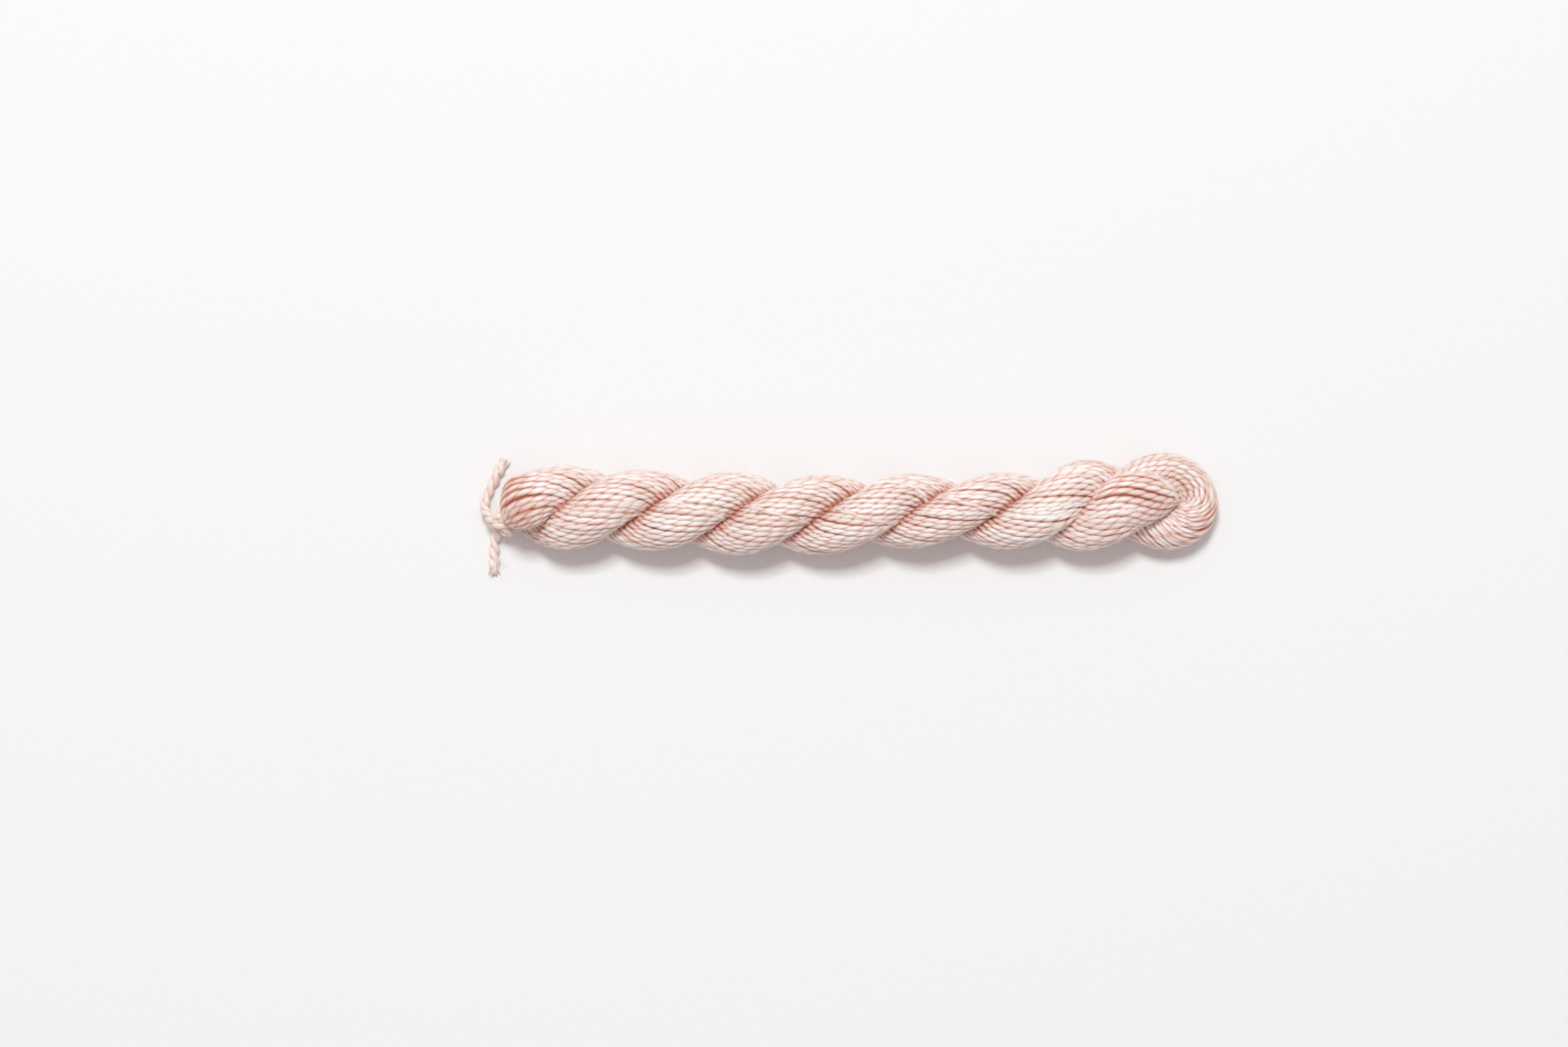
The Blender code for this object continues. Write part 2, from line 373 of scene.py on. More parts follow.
# %% Finish the silk
PLY_RISE = (0.05, 0.42)  # millimetres from the groove, over which the painted shade between plies turns to the painted highlight on a ply's crest
PAINTED_SHADE_SPAN = (0.62, 0.94)  # the lit shares at which the painted shade is deepest and at which it ends
STREAKS = (9.0, 9.0, 0.55)  # patterns for each millimetre: fine across a thread, long along it
DRIFT = (0.5, 0.5, 0.12)  # the same for the slow change of tone
PALE_AND_HIGHLIGHT_SPAN = (0.50, 1.20)  # between these sums of tone, streaks and ply crest, the body colour turns to the pale colour and painted highlight
ROUGH_SPAN = (0.30, 0.46)  # from the smoothest fibre to the roughest


def silk(name, pale_and_highlight, body, shade_color, ply_groove_shade, streak_depth):
    """Two-ply silk: how much painted shade darkens the groove between its plies, and how deep its
    streaks are.
    """
    finish = Finish(
        name,
        {
            "IOR": 1.5,
            "Specular IOR Level": 1.0,
            "Sheen Weight": 0.35,
            "Sheen Roughness": 0.35,
            "Sheen Tint": (1.0, 0.93, 0.90, 1.0),
        },
    )
    lay = finish.own("lay", "Vector")
    tone = finish.own("tone")
    painted_lit = finish.own("open")
    sideways = finish.node("ShaderNodeSeparateXYZ", sockets={"Vector": lay}, output="X")
    ply_lit = finish.span(finish.size(sideways), *PLY_RISE)
    fibre = finish.noise(finish.stretched(lay, STREAKS), 1.0, detail=3.0, roughness=0.6)
    drift = finish.noise(finish.stretched(lay, DRIFT), 1.0)
    # Painted shade: the colour sinks toward the deepest pink on a thread's side that faces into
    # the winding, in creases, in shaded sections and in the groove between plies.
    painted_light = finish.span(painted_lit, *PAINTED_SHADE_SPAN) * (1.0 - (1.0 - ply_lit) * ply_groove_shade)
    shaded_body = finish.mixed(painted_light, shade_color, body)
    # The pale colour follows the thread's own tone and streaks, and is also painted highlight on
    # the plies' crests, shown only on the lit side.
    pale_and_highlight_share = finish.span(tone * 0.45 + fibre * 0.35 + drift * 0.7 + ply_lit * 0.2, *PALE_AND_HIGHLIGHT_SPAN)
    color = finish.mixed(pale_and_highlight_share * painted_light, shaded_body, pale_and_highlight)
    roughness = finish.span(fibre + tone * 0.1, 0.3, 0.8, *ROUGH_SPAN)
    bump = finish.node(
        "ShaderNodeBump",
        sockets={"Height": fibre, "Strength": streak_depth, "Distance": 0.0001},
    )
    finish.feed(Base_Color=color, Roughness=roughness, Normal=bump)
    return finish.material


# In both finishes the pale colour is partly the silk's own and partly painted highlight, and the
# deepest pink is painted shade.
silk_pink = silk(
    "silk_pink",
    pale_and_highlight=(0.94, 0.90, 0.875, 1.0),
    body=(0.83, 0.60, 0.52, 1.0),
    shade_color=(0.60, 0.22, 0.14, 1.0),
    ply_groove_shade=0.28,
    streak_depth=0.5,
)
silk_tie = silk(
    "silk_tie",
    pale_and_highlight=(0.95, 0.84, 0.79, 1.0),
    body=(0.89, 0.61, 0.51, 1.0),
    shade_color=(0.72, 0.31, 0.21, 1.0),
    ply_groove_shade=0.50,
    streak_depth=0.7,
)
print("the silk finishes:", silk_pink.name, silk_tie.name)

# %% [markdown]
# ## The tie
# A short cord of the same silk, a little thicker, runs round the neck of the fold and through
# itself twice, and its two free ends lie on the table. It is one piece of cord from tip to tip, so
# it needs one route: the places it passes, in millimetres, from one tip to the other.

# %% Set out the tie's route
TIE_RADIUS = 1.05
TIE_REST = TIE_RADIUS + 0.03
TIE_PLY_TURN = 6.4  # the length in which its plies go once round each other
TIE_ROUTE = [
    (-93.0, 11.6, TIE_REST),
    (-94.0, 9.3, TIE_REST),
    (-95.5, 6.2, TIE_REST),
    (-97.2, 2.3, 1.3),
    (-98.0, -0.4, 2.6),
    (-97.3, -2.4, 4.6),
    (-95.9, -4.1, 6.8),
    (-93.9, -5.3, 8.2),
    (-92.3, -6.0, 7.8),
    (-91.4, -6.8, 6.7),
    (-91.7, -7.7, 5.4),
    (-92.8, -6.7, 4.9),
    (-93.6, -5.0, 5.2),
    (-94.1, -3.3, 6.4),
    (-93.3, -2.1, 7.7),
    (-92.2, -1.1, 7.9),
    (-90.6, 0.8, 8.0),
    (-88.3, 1.6, 7.7),
    (-86.2, 0.7, 7.5),
    (-84.9, -1.2, 8.0),
    (-85.1, -3.2, 9.3),
    (-86.3, -4.8, 9.8),
    (-88.3, -5.6, 9.1),
    (-90.4, -4.9, 8.6),
    (-92.0, -4.1, 8.8),
    (-93.5, -3.7, 9.0),
    (-94.8, -3.6, 7.6),
    (-95.7, -4.6, 5.6),
    (-95.4, -5.9, 4.2),
    (-94.4, -6.9, 3.4),
    (-94.3, -7.7, 2.9),
    (-95.0, -8.5, 2.3),
    (-95.4, -10.0, 1.6),
    (-95.5, -12.4, 1.1),
    (-95.5, -15.2, TIE_REST),
    (-95.6, -18.3, TIE_REST),
]
TIE_STEP = 0.5

tie_line = smooth_rows(TIE_ROUTE, TIE_STEP)
tie_along = lengths_along(tie_line)
tie_length = tie_along[-1]
print("the tie is", round(tie_length, 1), "mm long")

# %% [markdown]
# A cord that was cut opens at its tips. So this one gets a little fuller before either tip, then
# thinner, and strands that spread hide its end.

# %% Lay the tie
TIE_OPEN = 2.6  # how much of either tip has opened into strands
TIE_REACH = LOOSE_PLY[0][1]  # how far its outline reaches, as a share of its radius
FROM_TIP = [0.0, TIE_OPEN, 4.5, 9.0]
FULLER = [0.60, 1.32, 1.36, 1.16]  # its radius there, as a share of TIE_RADIUS
TIE_TONE = 0.6

from_tip = np.minimum(tie_along, tie_length - tie_along)
tie_radii = TIE_RADIUS * np.interp(from_tip, FROM_TIP, FULLER)
tie_line[:, 2] = np.maximum(tie_line[:, 2], TIE_REACH * tie_radii)
tie_winding = Winding("silk_tie_cord", tie_outline)
tie_winding.add(tie_line, tie_radii, -2 * math.pi * tie_along / TIE_PLY_TURN, TIE_TONE)
tie_cord = tie_winding.piece(silk_tie, "silk_tie", "tie")

# %% Open its tips into strands
TIP_STRANDS = 22
STRAND_POINTS = 8
ROWS_INSIDE = 4  # the strands start this many steps inside the cord
STRAND_RADII = (0.33, 0.11)
STRAND_SIZES = (0.8, 1.2)  # the finest and the thickest strand, as shares of those radii
STRAND_REACHES = (0.85, 1.12)  # the shortest and the longest, as shares of the opened length
STRAND_TONES = (0.4, 1.0)
STRAND_BEND = 0.5  # how far a strand's end may bend aside
TIP_SPREAD = 0.88  # how far out the strands leave the cord
TIP_FLARE = 0.75  # how much wider they spread at their ends
STRAND_HEIGHT = 0.2  # no strand lies lower than this
chance = random.Random(11)


def open_tip(winding, line):
    """Strands that spread from a cut end. The line runs from inside the cord out to its tip."""
    heading = (line[-1] - line[0]) / np.linalg.norm(line[-1] - line[0])
    aside = np.cross(heading, (0.0, 0.0, 1.0))
    share = np.linspace(0.0, 1.0, STRAND_POINTS)[:, None]
    for _ in range(TIP_STRANDS):
        turn = chance.uniform(0, 2 * math.pi)
        out = math.sqrt(chance.random()) * TIP_SPREAD
        reach = chance.uniform(*STRAND_REACHES)
        middle = line[0] + (line[-1] - line[0]) * share * reach
        spread = out * (1.0 + TIP_FLARE * share**2)
        bend = chance.uniform(-STRAND_BEND, STRAND_BEND) * share**2
        places = middle + (spread * math.cos(turn) + bend) * aside
        places[:, 2] += (spread * math.sin(turn))[:, 0]
        places[:, 2] = np.maximum(places[:, 2], STRAND_HEIGHT)
        radii = np.linspace(*STRAND_RADII, STRAND_POINTS) * chance.uniform(*STRAND_SIZES)
        winding.add(places, radii, np.zeros(STRAND_POINTS), chance.uniform(*STRAND_TONES))


tips = Winding("silk_tie_tips", fibre_outline)
tip_rows = round(TIE_OPEN / TIE_STEP) + ROWS_INSIDE
open_tip(tips, tie_line[:tip_rows][::-1])
open_tip(tips, tie_line[-tip_rows:])
tie_tips = tips.piece(silk_tie, "silk_tie", "tie")
print("each tip opens into", TIP_STRANDS, "strands")

# %% [markdown]
# ## The two bundles
# The tables say where each bundle of the skein runs and how thick it is, in millimetres: a row for
# each quarter turn of the twist, and a row for each section of the fold and of the head. They are
# the part's own measures, a little narrower where the threads gather. `lean` is new: how fast the
# threads wind round inside their bundle, in radians a millimetre. It makes the threads of every
# lobe run flat along the skein while the lobe itself runs across it.

# %% Set out the bundles
ORBIT = 4.8  # from the middle of the skein to the middle of either bundle
THICK = 5.5
BROAD = 6.35
AXIS_HEIGHT = 9.7
LEAN = 0.143
# Each row: x, y, girth
TURNS = [
    (-88.0, -0.9, 1.02),
    (-77.0, -0.9, 1.03),
    (-66.2, -0.8, 1.03),
    (-55.2, -1.7, 0.97),
    (-44.1, -2.2, 1.00),
    (-32.5, -2.5, 1.00),
    (-21.7, -2.9, 0.97),
    (-10.1, -2.8, 0.96),
    (2.2, -2.3, 0.93),
    (13.0, -1.9, 0.90),
    (25.5, -1.4, 0.86),
    (36.2, -1.8, 0.93),
    (47.6, -1.7, 1.00),
    (57.7, -0.4, 1.10),
    (67.1, 0.4, 1.12),
]
UPPER_SPAN = (0.5, 14.0)  # in quarter turns
LOWER_SPAN = (1.0, 13.5)
BEND_CENTRE = np.array((-84.4, -0.8, 8.6))
# Each row of the four tables below: x, y, z, thick, broad, lean
FOLD_UPPER = [
    (-88.3, -2.0, 8.7, 2.0, 2.0, 0.00),
    (-89.9, -3.0, 9.8, 1.9, 2.3, 0.00),
    (-90.5, -2.7, 11.7, 2.2, 3.6, 0.00),
    (-89.2, -1.5, 13.6, 3.2, 6.0, 0.03),
    (-86.3, 0.6, 14.4, 4.4, 7.2, 0.08),
]
FOLD_LOWER = [
    (-88.3, -2.0, 9.3, 2.0, 2.0, 0.03),
    (-88.4, -2.0, 7.3, 2.2, 2.3, 0.03),
    (-87.8, -2.6, 5.3, 2.9, 3.0, 0.04),
    (-85.6, -4.5, 4.2, 3.8, 3.8, 0.06),
    (-81.6, -6.3, 6.1, 4.4, 4.5, 0.10),
]
RING = [
    (73.9, -5.3, 5.6, 5.9, 5.0, 0.18),
    (80.5, -6.3, 6.0, 6.0, 5.6, 0.26),
    (85.2, -3.9, 5.8, 5.8, 5.7, 0.27),
    (87.0, 0.4, 5.6, 5.4, 5.6, 0.18),
    (85.0, 4.9, 6.0, 5.2, 5.4, 0.05),
    (80.0, 7.7, 7.2, 5.0, 5.0, 0.03),
    (74.4, 7.1, 9.0, 4.9, 4.9, 0.04),
    (69.4, 5.0, 11.0, 4.4, 4.4, 0.04),
    (65.0, 1.9, 12.2, 3.4, 3.4, 0.04),
]
TUCK = [
    (67.4, -0.2, 14.0, 5.8, 7.3, 0.12),
    (72.6, 1.6, 13.0, 5.2, 6.9, 0.09),
    (77.0, 2.3, 10.9, 4.4, 5.3, 0.06),
    (80.0, 2.6, 8.0, 3.3, 3.6, 0.03),
    (81.6, 3.0, 4.6, 2.4, 2.6, 0.03),
]
print("the twist has", len(TURNS) - 1, "quarter turns")

# %% [markdown]
# The twist is worked out from its table, half a quarter turn at a time: the bundle circles the
# skein's middle, and `outward` is the way from that middle to the bundle. The fold and the head
# take their rows as they are. All of them end up as rows of one long table for each bundle.

# %% Turn the tables into sections
SECTION_STEP = 0.5  # in quarter turns


def turn_at(quarter):
    """x, y and girth of the twist at a quarter turn that needn't be whole."""
    rows = np.array([2 * np.array(TURNS[0]) - np.array(TURNS[1]), *TURNS, TURNS[-1]])
    i = min(int(quarter), len(TURNS) - 2)
    t = quarter - i
    p0, p1, p2, p3 = rows[i : i + 4]
    return p1 + 0.5 * t * (
        p2 - p0 + t * (2 * p0 - 5 * p1 + 4 * p2 - p3 + t * (3 * (p1 - p2) + p3 - p0))
    )


def twist_rows(span, phase):
    """Sections in the twist: place, outward, thick, broad, girth, lean, painted crease shade,
    painted shade.
    """
    rows = []
    for quarter in np.arange(span[0], span[1] + SECTION_STEP / 2, SECTION_STEP):
        x, y, girth = turn_at(quarter)
        turn = math.pi / 2 * quarter + phase
        side = math.sin(turn)
        up = math.cos(turn)
        place = (x, y + ORBIT * girth * side, AXIS_HEIGHT + ORBIT * up)
        # In the twist, painted shade falls in the creases between the bundles, not over the whole
        # section.
        rows.append((*place, 0.0, side, up, THICK, BROAD, girth, LEAN, 1.0, 0.0))
    return rows


def end_rows(sections, shade, outward=None):
    """Sections outside the twist, in the same columns."""
    rows = []
    for x, y, z, thick, broad, lean in sections:
        away = np.array((x, y, z)) - BEND_CENTRE if outward is None else np.array(outward)
        away = away / np.linalg.norm(away)
        # Outside the twist, no crease shade is painted; the given painted shade covers the whole
        # section.
        rows.append((x, y, z, *away, thick, broad, 1.0, lean, 0.0, shade))
    return rows


FOLD_SHADE = 0.09  # painted shade: how much darker the silk is painted where it is gathered
# the painted shade over the head
HEAD_SHADE = 0.05
UPPER = end_rows(FOLD_UPPER, FOLD_SHADE) + twist_rows(UPPER_SPAN, 0.0)
UPPER += end_rows(RING, HEAD_SHADE, (0, 0, -1))
LOWER = end_rows(FOLD_LOWER, FOLD_SHADE) + twist_rows(LOWER_SPAN, -math.pi)
LOWER += end_rows(TUCK, HEAD_SHADE, (0, 0, 1))
print("sections:", len(UPPER), "in the upper bundle and", len(LOWER), "in the lower one")

# %% [markdown]
# ## Laying the threads
# 20 threads share the surface of a bundle. Each keeps its own place round the bundle and wanders a
# little, in and out and from side to side, as wound thread does. Where the bundle is gathered
# there isn't room for all of them on the surface, so some sink below their neighbours, and those
# that stay on top get fuller.

# %% Follow a bundle
THREAD_RADIUS = 0.82
THREADS = 20
THREAD_STEP = 0.45
FULL_PITCH = 1.10  # from thread to thread where none has to sink
FULLNESS = 0.62  # a thread's radius as a share of the way to the next thread
GATHERED_FULLNESS = 2.2  # how much fuller that share gets where threads sink
SLIMMEST = 0.66
FULLEST = 1.05
THREAD_DEPTH = 0.62 * THREAD_RADIUS  # from the part's surface to a thread's middle
SINK = 2.6
DEEPEST = 0.15  # no thread sinks nearer to the bundle's middle
SIDEWAYS = (0.034, 46.0)  # how far threads wander, in radians, and over what length
IN_AND_OUT = (0.12, 33.0)  # the same in millimetres
WAVES = (1.0, 0.6, 0.4)  # the height and the length of each wave, as shares of the first one's
WAVES_TOGETHER = 1.4  # about how high they reach where they meet
TURNED_IN = (0.20, 0.60)  # where painted shade starts as threads turn into the winding, and how gradually it deepens
# how deep that painted shade gets
SHADE_TURNED_IN = 0.29


class Bundle:
    """The frames along one bundle, on which threads are laid."""

    def __init__(self, rows):
        line = smooth_rows(rows, THREAD_STEP)
        self.places = line[:, :3]
        along = np.gradient(self.places, axis=0)
        along /= np.linalg.norm(along, axis=1)[:, None]
        out = line[:, 3:6]
        out = out - np.einsum("ij,ij->i", out, along)[:, None] * along
        self.out = out / np.linalg.norm(out, axis=1)[:, None]
        self.across = np.cross(along, self.out)
        self.thick, self.broad, self.girth, self.lean, self.pressed, self.shade = line[:, 6:].T
        self.walked = lengths_along(line)
        self.angle = self.untwisted(along) + np.concatenate(
            [[0.0], np.cumsum(self.lean[1:] * np.diff(self.walked))]
        )

    def untwisted(self, along):
        """What the sections' own turning about the bundle takes out of the threads' angle."""
        carried = self.out[:-1]
        carried = carried - np.einsum("ij,ij->i", carried, along[1:])[:, None] * along[1:]
        sine = np.einsum("ij,ij->i", np.cross(carried, self.out[1:]), along[1:])
        cosine = np.einsum("ij,ij->i", carried, self.out[1:])
        return np.concatenate([[0.0], -np.cumsum(np.arctan2(sine, cosine))])

    def wander(self, size, longest):
        """A slow swing along the bundle, made of three waves."""
        swing = np.zeros(len(self.walked))
        for share in WAVES:
            wave = longest * share * chance.uniform(0.8, 1.2)
            swing += share * np.sin(2 * math.pi * (self.walked / wave + chance.random()))
        return size * swing / WAVES_TOGETHER

    def thread(self, start, rank, size):
        """Places, radii and outward directions of one thread, and how much of it stays lit, the
        rest being painted shade.
        """
        angle = self.angle + start + self.wander(*SIDEWAYS)
        pitch = np.hypot(self.thick * np.sin(angle), self.broad * np.cos(angle))
        reach = np.hypot(self.thick * np.cos(angle), self.broad * np.sin(angle))
        pitch = pitch * self.girth * np.cos(np.arctan(self.lean * reach)) * 2 * math.pi / THREADS
        short = np.clip(1.0 - pitch / FULL_PITCH, 0.0, 1.0)
        sunk = THREAD_DEPTH + rank * short * SINK + self.wander(*IN_AND_OUT)
        fullness = FULLNESS * (1.0 + GATHERED_FULLNESS * short)
        radii = size * np.clip(pitch * fullness, SLIMMEST, FULLEST)
        thick = np.maximum(self.thick - sunk, DEEPEST)
        broad = np.maximum(self.broad - sunk, DEEPEST)
        offset = (thick * np.cos(angle))[:, None] * self.out
        offset += (broad * np.sin(angle))[:, None] * self.across
        offset[:, 1] *= self.girth
        places = self.places + offset
        places[:, 2] = np.maximum(places[:, 2], radii)
        outward = offset / np.linalg.norm(offset, axis=1)[:, None]
        # Painted shade where the thread turns into the crease between the bundles, and over
        # sections given shade.
        turned_in = np.clip((TURNED_IN[0] - np.cos(angle)) / TURNED_IN[1], 0.0, 1.0)
        painted_lit = 1.0 - self.shade - self.pressed * SHADE_TURNED_IN * turned_in
        return places, radii, outward, painted_lit


upper_bundle = Bundle(UPPER)
lower_bundle = Bundle(LOWER)
print("the upper bundle is", round(upper_bundle.walked[-1]), "mm long")

# %% [markdown]
# No two threads of a skein lie alike, so each one gets its own place, size, tone and twist from a
# chance that is the same on every run. Half of a bundle's threads go into each piece, which keeps
# the pieces light enough to handle.

# %% Lay the threads of both bundles
PLY_TURN = 4.8  # the length in which the two plies go once round each other
PLY_TURNS = (0.85, 1.15)  # the tightest and the loosest thread's, as shares of it
RANKS = [0.0, 1.0, 0.35, 1.3]  # how readily a thread sinks, in turn round the bundle
SIZES = (0.93, 1.06)  # the thinnest and the thickest thread, as shares of the usual radius
UNEVEN = 0.12  # how far a thread lies off its place, as a share of the way to the next
TONE_SWING = 0.5


def lay_threads(bundle, names):
    """All the surface threads of a bundle, shared out over pieces with these names."""
    windings = [Winding(name, thread_outline) for name in names]
    for i in range(THREADS):
        start = 2 * math.pi * (i + chance.uniform(-UNEVEN, UNEVEN)) / THREADS
        size = chance.uniform(*SIZES)
        rank = RANKS[i % len(RANKS)]
        places, radii, outward, painted_lit = bundle.thread(start, rank, size)
        turn = PLY_TURN * chance.uniform(*PLY_TURNS)
        tilts = chance.uniform(0.0, math.pi) - 2 * math.pi * bundle.walked / turn
        tone = 0.5 + chance.uniform(-TONE_SWING, TONE_SWING)
        winding = windings[i * len(names) // THREADS]
        winding.add(places, radii, tilts, tone, outward, painted_lit)
    for winding in windings:
        winding.piece(silk_pink, "silk_pink", "skein")


lay_threads(upper_bundle, ["upper_threads_1", "upper_threads_2"])
lay_threads(lower_bundle, ["lower_threads_1", "lower_threads_2"])

# %% [markdown]
# ## Threads that stray
# A wound skein always has a few threads that were caught over their neighbours. Each comes up
# between the others, crosses a lobe at its own slant, and sinks again. Some have a set place, and
# the rest are left to chance.

# %% Lay the stray threads
STRAYS = 5  # more of them in each bundle, left to chance
STRAY_RADIUS = 0.76
STRAY_DEPTH = 0.55 * THREAD_RADIUS
STRAY_SINK = 1.9  # how far its ends go under
STRAY_LENGTHS = (15.0, 24.0)
STRAY_HEIGHTS = (0.05, 0.35)
STRAY_SLANTS = (0.45, 0.7, 1.5)  # as shares of the bundle's own lean
FACING_UP = 0.9  # how steeply a bundle faces up where chance may put a stray
KEPT_CLEAR = 45  # steps at either end of a bundle that get no stray
# Each row: in the upper bundle or not, x, length, how far aside of the top, slant, height. With a
# slant under 1 the thread stays with its lobe for longer.
MARKED_STRAYS = [
    (False, -71.5, 24.0, 0.30, 0.70, 0.55),
    (False, -60.0, 15.0, 1.10, 0.35, 0.25),
    (True, 4.0, 15.0, 1.10, 0.35, 0.25),
    (True, 11.0, 18.0, -0.30, 1.40, 0.35),
    (False, 29.0, 20.0, 0.50, 1.60, 0.35),
    (True, 50.0, 15.0, 1.05, 0.35, 0.30),
    (False, 74.0, 14.0, 0.95, 0.35, 0.35),
    (False, 77.5, 9.0, -0.20, 2.20, 0.40),
]


def stray_thread(winding, bundle, middle, length, aside, slant, height):
    """A thread over a bundle, aside of its top in radians, and its slant in radians a mm."""
    rows = np.abs(bundle.walked - middle) < length / 2
    away = (bundle.walked[rows] - middle) / (length / 2)
    facing_up = np.arctan2(bundle.out[rows, 1], bundle.out[rows, 2])
    angle = facing_up + aside + slant * away * length / 2
    lift = height * (1.0 - away**2) - STRAY_SINK * away**6
    thick = bundle.thick[rows] - STRAY_DEPTH + lift
    broad = bundle.broad[rows] - STRAY_DEPTH + lift
    offset = (thick * np.cos(angle))[:, None] * bundle.out[rows]
    offset += (broad * np.sin(angle))[:, None] * bundle.across[rows]
    offset[:, 1] *= bundle.girth[rows]
    outward = offset / np.linalg.norm(offset, axis=1)[:, None]
    radii = np.full(len(away), STRAY_RADIUS)
    tilts = -2 * math.pi * bundle.walked[rows] / PLY_TURN
    tone = chance.uniform(0.2, 0.8)
    places = bundle.places[rows] + offset
    winding.add(places, radii, tilts, tone, outward, np.ones(len(away)))


strays = Winding("stray_threads", thread_outline)
for is_upper, x, length, aside, slant, height in MARKED_STRAYS:
    bundle = upper_bundle if is_upper else lower_bundle
    middle = bundle.walked[np.argmin(np.abs(bundle.places[:, 0] - x))]
    stray_thread(strays, bundle, middle, length, aside, slant * LEAN, height)
for bundle in (upper_bundle, lower_bundle):
    middles = range(KEPT_CLEAR, len(bundle.out) - KEPT_CLEAR)
    tops = [i for i in middles if bundle.out[i, 2] > FACING_UP]
    for _ in range(STRAYS):
        middle = bundle.walked[chance.choice(tops)]
        slant = LEAN * chance.choice(STRAY_SLANTS)
        length = chance.uniform(*STRAY_LENGTHS)
        stray_thread(strays, bundle, middle, length, 0.0, slant, chance.uniform(*STRAY_HEIGHTS))
strays.piece(silk_pink, "silk_pink", "skein")

# %% [markdown]
# ## What lies under the surface
# Under the outer threads lie the rest of the turns. Only dark slits of them show, so each bundle
# gets one solid filling of the same silk with painted shade, deep pink, a loft of ovals that stays
# just below the outer threads.
# A circle is made for every station, and each is bridged to the next.

# %% Fill the bundles
SHADED_STRIPES = (180.0, 900.0, 900.0)  # for each metre: long along the skein, short across it
# painted shade: the filling's darker and lighter deep pink
SHADED_DARK = (0.48, 0.16, 0.10, 1.0)
SHADED_PALE = (0.70, 0.34, 0.24, 1.0)


def silk_in_painted_shade():
    """Threads in shade: the same silk with painted shade, deep pink, in coarse stripes that lean
    with the threads.
    """
    finish = Finish("silk_shaded", {"Sheen Weight": 0.1, "Specular IOR Level": 0.3})
    where = finish.node("ShaderNodeTexCoord", output="Object")
    grain = finish.noise(finish.stretched(where, SHADED_STRIPES), 1.0, detail=3.0)
    color = finish.mixed(finish.span(grain, 0.35, 0.7), SHADED_DARK, SHADED_PALE)
    bump = finish.node(
        "ShaderNodeBump", sockets={"Height": grain, "Strength": 0.6, "Distance": 0.0002}
    )
    finish.feed(Base_Color=color, Roughness=finish.span(grain, 0.3, 0.7, 0.5, 0.7), Normal=bump)
    return finish.material


FILLING_STEP = 3
FILLING_CORNERS = 16
FILLING_DEPTH = 0.92 * THREAD_RADIUS
SLIMMEST_FILLING = 0.3
FILLING_HEIGHT = 0.4  # it stays this far above the table


def fill_bundle(name, bundle, finish):
    """An oval loft inside the threads of a bundle."""
    mesh = bmesh.new()
    before = None
    for i in range(0, len(bundle.places), FILLING_STEP):
        thick = max(bundle.thick[i] - FILLING_DEPTH, SLIMMEST_FILLING)
        broad = max(bundle.broad[i] - FILLING_DEPTH, SLIMMEST_FILLING)
        ring = bmesh.ops.create_circle(mesh, segments=FILLING_CORNERS, radius=1.0)["verts"]
        for vert in ring:
            spot = vert.co.x * thick * bundle.out[i] + vert.co.y * broad * bundle.across[i]
            spot[1] *= bundle.girth[i]
            spot += bundle.places[i]
            spot[2] = max(spot[2], FILLING_HEIGHT)
            vert.co = Vector(spot * MM)
        edges = list({edge for vert in ring for edge in vert.link_edges})
        if before:
            bmesh.ops.bridge_loops(mesh, edges=before + edges)
        before = edges
    ends = [edge for edge in mesh.edges if edge.is_boundary]
    bmesh.ops.holes_fill(mesh, edges=ends, sides=0)
    bmesh.ops.recalc_face_normals(mesh, faces=mesh.faces)
    data = bpy.data.meshes.new(name)
    mesh.to_mesh(data)
    mesh.free()
    data.shade_smooth()
    data.materials.append(finish)
    piece = bpy.data.objects.new(name, data)
    bpy.context.scene.collection.objects.link(piece)
    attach(piece, "root")
    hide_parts("skein")
    print(name, "has", len(data.polygons), "faces")


silk_shaded = silk_in_painted_shade()
fill_bundle("upper_filling", upper_bundle, silk_shaded)
fill_bundle("lower_filling", lower_bundle, silk_shaded)

# %% [markdown]
# ## Loose fibres
# Silk sheds the odd fibre. They are as thin as hair and bend every way, so a few hundred short
# sweeps stand off each bundle and off the tie.

# %% Scatter the loose fibres
FIBRES = 320  # on either bundle, and on the tie
LONGEST_FIBRE = 3.2
FIBRE_LENGTHS = (0.35, 1.0)  # as shares of the longest
FIBRE_RADII = (0.010, 0.020)
FIBRE_CURL = 0.45  # how far its end bends aside, as a share of its length
FIBRE_POINTS = 8
FIBRE_HEIGHT = 0.05  # no fibre lies lower than this
OUTWARD_PULL = 0.9  # how strongly fibres leave the surface straight, against chance
NO_FIBRES = (8, 20)  # steps at a bundle's start and end that shed none


def loose_fibre(winding, root, outward):
    """A hair that leaves the surface and curls."""
    heading = np.array([chance.uniform(-1, 1) for _ in range(3)]) + OUTWARD_PULL * outward
    heading /= np.linalg.norm(heading)
    curl = np.array([chance.uniform(-1, 1) for _ in range(3)])
    share = np.linspace(0.0, 1.0, FIBRE_POINTS)[:, None]
    length = LONGEST_FIBRE * chance.uniform(*FIBRE_LENGTHS)
    places = root + length * (share * heading + FIBRE_CURL * share**2 * curl)
    places[:, 2] = np.maximum(places[:, 2], FIBRE_HEIGHT)
    radii = np.full(FIBRE_POINTS, chance.uniform(*FIBRE_RADII))
    winding.add(places, radii, np.zeros(FIBRE_POINTS), 1.0)


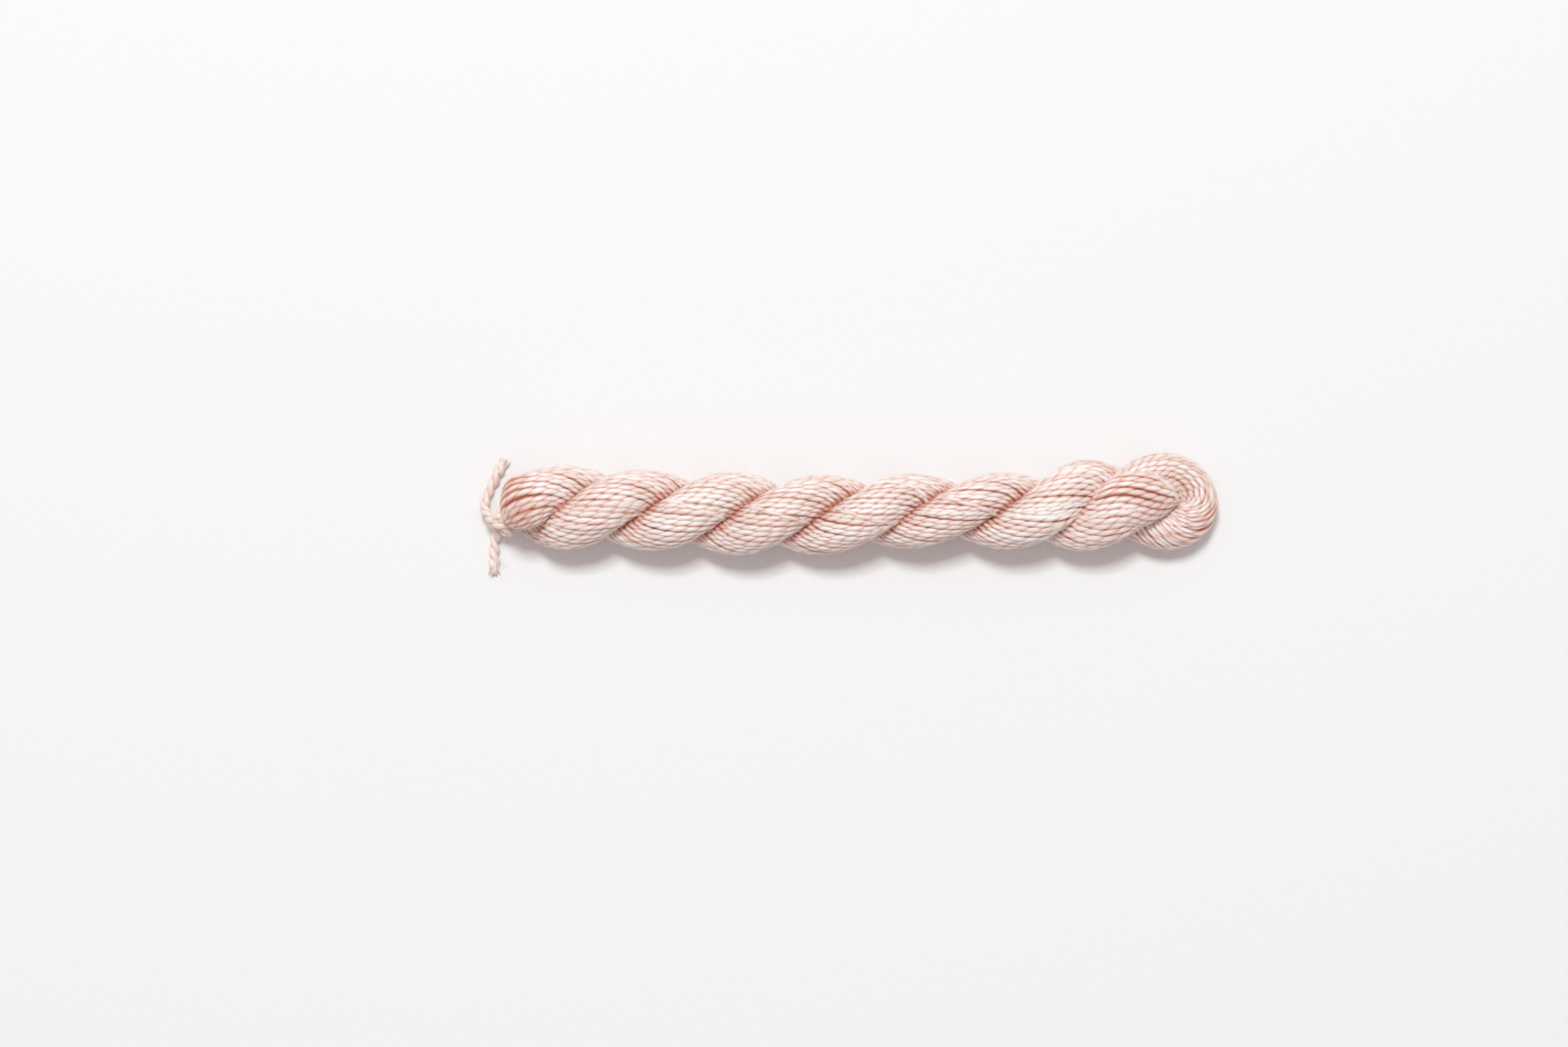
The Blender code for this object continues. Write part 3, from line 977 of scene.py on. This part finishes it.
fibres = Winding("loose_fibres", fibre_outline)
for bundle in (upper_bundle, lower_bundle):
    for _ in range(FIBRES):
        i = chance.randrange(NO_FIBRES[0], len(bundle.places) - NO_FIBRES[1])
        angle = chance.uniform(0, 2 * math.pi)
        offset = bundle.thick[i] * math.cos(angle) * bundle.out[i]
        offset = offset + bundle.broad[i] * math.sin(angle) * bundle.across[i]
        root = bundle.places[i] + offset
        loose_fibre(fibres, root, offset / np.linalg.norm(offset))
fibres.piece(silk_pink, "silk_pink", "skein")

TIE_SURFACE = 0.9 * TIE_RADIUS  # the plies of the tie lie a little inside its radius
tie_fibres = Winding("tie_fibres", fibre_outline)
for _ in range(FIBRES):
    i = chance.randrange(2, len(tie_line) - 2)
    outward = np.array([chance.uniform(-1, 1) for _ in range(3)])
    outward /= np.linalg.norm(outward)
    loose_fibre(tie_fibres, tie_line[i] + TIE_SURFACE * outward, outward)
tie_fibres.piece(silk_tie, "silk_tie", "tie")

# %% [markdown]
# ## The table and the light
# The skein lies on a plain, nearly white table. One wide soft light stands behind it, high up, and
# the room fills the shade, so the shadow is short and has no edge.

# %% Set the table and the light
TABLE_HALF = 3.0  # metres from the table's middle to its side
TABLE_GRAIN = 900.0  # for each metre
TABLE_WHITE = (0.86, 0.86, 0.865, 1.0)
TABLE_LIGHTER = (0.88, 0.88, 0.885, 1.0)
LIGHT_COLOR = (0.94, 1.0, 1.0)
ROOM_COLOR = (1.0, 0.91, 0.90, 1.0)
ROOM_STRENGTH = 0.52


def make_table():
    """A wide flat table with a faint grain."""
    finish = Finish("table_white", {"Specular IOR Level": 0.2})
    where = finish.node("ShaderNodeTexCoord", output="Object")
    grain = finish.noise(where, TABLE_GRAIN, detail=3.0)
    color = finish.mixed(finish.span(grain, 0.3, 0.7), TABLE_WHITE, TABLE_LIGHTER)
    finish.feed(Base_Color=color, Roughness=finish.span(grain, 0.3, 0.7, 0.6, 0.7))
    mesh = bmesh.new()
    bmesh.ops.create_grid(mesh, x_segments=8, y_segments=8, size=TABLE_HALF)
    data = bpy.data.meshes.new("table")
    mesh.to_mesh(data)
    mesh.free()
    data.materials.append(finish.material)
    table = bpy.data.objects.new("table", data)
    bpy.context.scene.collection.objects.link(table)


def soft_light(name, place, size, power):
    """A square light that looks at the skein."""
    lamp = bpy.data.lights.new(name, "AREA")
    lamp.shape = "SQUARE"
    lamp.size = size
    lamp.energy = power
    lamp.color = LIGHT_COLOR
    holder = bpy.data.objects.new(name, lamp)
    holder.location = place
    holder.rotation_euler = (-Vector(place)).to_track_quat("-Z", "Y").to_euler()
    bpy.context.scene.collection.objects.link(holder)


make_table()
soft_light("window", place=(-0.15, 0.95, 2.15), size=0.50, power=36.0)
room = bpy.data.worlds.new("room")
room.use_nodes = True
background = room.node_tree.nodes["Background"]
background.inputs["Color"].default_value = ROOM_COLOR
background.inputs["Strength"].default_value = ROOM_STRENGTH
bpy.context.scene.world = room
bpy.context.scene.view_settings.view_transform = "Standard"

# %% [markdown]
# The outlines were tools, so they go.

# %% Take away the outlines
for outline, _ in (thread_outline, tie_outline, fibre_outline):
    bpy.data.objects.remove(outline, do_unlink=True)
